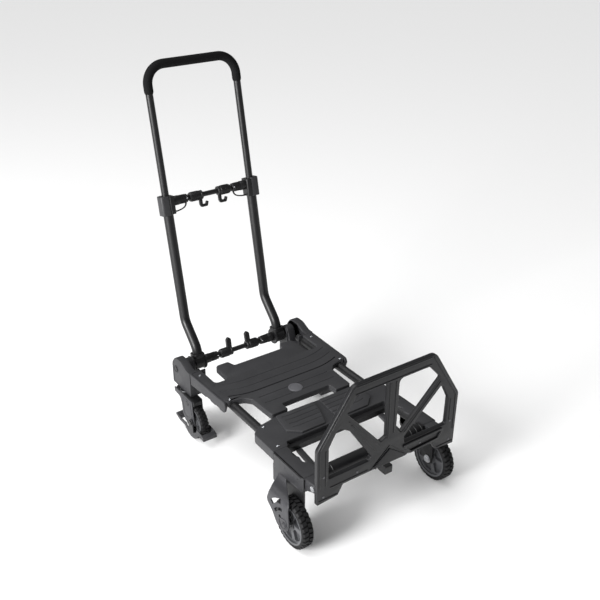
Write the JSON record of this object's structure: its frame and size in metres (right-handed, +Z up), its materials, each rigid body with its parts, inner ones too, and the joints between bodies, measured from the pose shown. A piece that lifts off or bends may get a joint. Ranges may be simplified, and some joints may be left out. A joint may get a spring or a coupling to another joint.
{
  "type": "convertible hand truck",
  "caption": "Folding platform hand truck with a truss toe plate, a telescoping folding handle, fixed front wheels and braked rear casters.",
  "frame": {"origin": "on the floor below the middle of the truck's box", "axes": "+X across the truck, +Y from the toe plate to the handle, +Z up"},
  "size_m": [0.504, 0.9016, 0.9863],
  "materials": {
    "tube": "satin charcoal powder coat",
    "deck": "moulded dark grey plastic, fine texture",
    "shell": "moulded grey plastic, satin",
    "fork": "satin grey coated steel",
    "emblem": "satin grey disc",
    "steel": "zinc plated",
    "nose": "moulded charcoal plastic",
    "black": "moulded black plastic",
    "foam": "closed cell foam",
    "tyre": "black rubber",
    "hub": "moulded grey plastic",
    "pedal": "moulded grey plastic"
  },
  "bodies": {
    "chassis": {"side_tube_left": "tube", "side_tube_right": "tube", "rear_crossmember": "tube", "mid_crossmember": "tube", "front_cross_tube": "tube", "rear_deck_panel": "deck", "mid_deck_panel": "deck", "deck_emblem": "emblem", "deck_screws": "steel", "rear_corner_left": "shell", "rear_corner_right": "shell", "front_shell_left": "shell", "front_shell_right": "shell", "front_fork_left": "fork", "front_fork_right": "fork", "front_axles": "steel", "link_bar_left": "tube", "link_bar_right": "tube", "nose_hinge_pins": "steel", "handle_pivot_pins": "steel", "swivel_heads": "steel"},
    "toe_plate": {"nose_frame": "nose", "nose_gusset": "nose", "nose_ledge": "nose", "nose_rivets": "steel"},
    "toe_plate_lever": {"nose_release_lever": "black"},
    "handle": {"hinge_block_left": "black", "hinge_block_right": "black", "handle_tube_left": "tube", "handle_tube_right": "tube", "lower_crossbar": "tube", "upper_crossbar": "tube", "crossbar_sleeves": "black", "lock_housing_left": "black", "lock_housing_right": "black", "guide_bushes": "black", "release_springs": "steel"},
    "upper_release_left": {"upper_release_left": "black"},
    "upper_release_right": {"upper_release_right": "black"},
    "lower_release_left": {"lower_release_left": "black"},
    "lower_release_right": {"lower_release_right": "black"},
    "bow": {"handle_bow": "tube", "bow_end_bushes": "black", "foam_grip": "foam"},
    "front_wheel_left": {"front_tyre_left": "tyre", "front_hub_left": "hub"},
    "front_wheel_right": {"front_tyre_right": "tyre", "front_hub_right": "hub"},
    "caster_left": {"caster_fork_left": "fork", "caster_axle_left": "steel"},
    "caster_right": {"caster_fork_right": "fork", "caster_axle_right": "steel"},
    "caster_wheel_left": {"caster_tyre_left": "tyre", "caster_hub_left": "hub"},
    "caster_wheel_right": {"caster_tyre_right": "tyre", "caster_hub_right": "hub"},
    "brake_left": {"brake_pedal_left": "pedal"},
    "brake_right": {"brake_pedal_right": "pedal"}
  },
  "joints": [
    {"name": "handle_fold", "type": "hinge", "parent": "chassis", "child": "handle", "pos_m": [0, 0.233, 0.172], "axis": [1, 0, 0], "range_deg": [0, 95]},
    {"name": "toe_plate_fold", "type": "hinge", "parent": "chassis", "child": "toe_plate", "pos_m": [0, -0.422, 0.184], "axis": [-1, 0, 0], "range_deg": [0, 90]},
    {"name": "handle_telescope", "type": "slide", "parent": "handle", "child": "bow", "axis": [0, -0.1874, -0.9823], "range_m": [0, 0.27]},
    {"name": "upper_release_left_slide", "type": "slide", "parent": "handle", "child": "upper_release_left", "axis": [1, 0, 0], "range_m": [0, 0.008], "stiffness_N_per_m": 900},
    {"name": "lower_release_left_slide", "type": "slide", "parent": "handle", "child": "lower_release_left", "axis": [1, 0, 0], "range_m": [0, 0.008], "stiffness_N_per_m": 900},
    {"name": "upper_release_right_slide", "type": "slide", "parent": "handle", "child": "upper_release_right", "axis": [-1, 0, 0], "range_m": [0, 0.008], "stiffness_N_per_m": 900},
    {"name": "lower_release_right_slide", "type": "slide", "parent": "handle", "child": "lower_release_right", "axis": [-1, 0, 0], "range_m": [0, 0.008], "stiffness_N_per_m": 900},
    {"name": "toe_plate_lever_press", "type": "hinge", "parent": "chassis", "child": "toe_plate_lever", "pos_m": [0.0145, -0.398, 0.146], "axis": [1, 0, 0], "range_deg": [0, 12], "stiffness_Nm_per_rad": 0.6},
    {"name": "front_wheel_left_spin", "type": "hinge", "parent": "chassis", "child": "front_wheel_left", "pos_m": [-0.222, -0.377, 0.064], "axis": [1, 0, 0], "continuous": true},
    {"name": "caster_left_swivel", "type": "hinge", "parent": "chassis", "child": "caster_left", "pos_m": [-0.2, 0.196, 0.11], "axis": [0, 0, 1], "continuous": true},
    {"name": "caster_wheel_left_spin", "type": "hinge", "parent": "caster_left", "child": "caster_wheel_left", "pos_m": [-0.2, 0.136, 0.05], "axis": [1, 0, 0], "continuous": true},
    {"name": "brake_left_press", "type": "hinge", "parent": "caster_left", "child": "brake_left", "pos_m": [-0.2, 0.136, 0.05], "axis": [-1, 0, 0], "range_deg": [0, 8]},
    {"name": "front_wheel_right_spin", "type": "hinge", "parent": "chassis", "child": "front_wheel_right", "pos_m": [0.222, -0.377, 0.064], "axis": [1, 0, 0], "continuous": true},
    {"name": "caster_right_swivel", "type": "hinge", "parent": "chassis", "child": "caster_right", "pos_m": [0.2, 0.196, 0.11], "axis": [0, 0, 1], "continuous": true},
    {"name": "caster_wheel_right_spin", "type": "hinge", "parent": "caster_right", "child": "caster_wheel_right", "pos_m": [0.2, 0.136, 0.05], "axis": [1, 0, 0], "continuous": true},
    {"name": "brake_right_press", "type": "hinge", "parent": "caster_right", "child": "brake_right", "pos_m": [0.2, 0.136, 0.05], "axis": [-1, 0, 0], "range_deg": [0, 8]}
  ],
  "couplings": [
    {"joint": "toe_plate_fold", "follows": "handle_fold", "ratio": 0.94736}
  ]
}
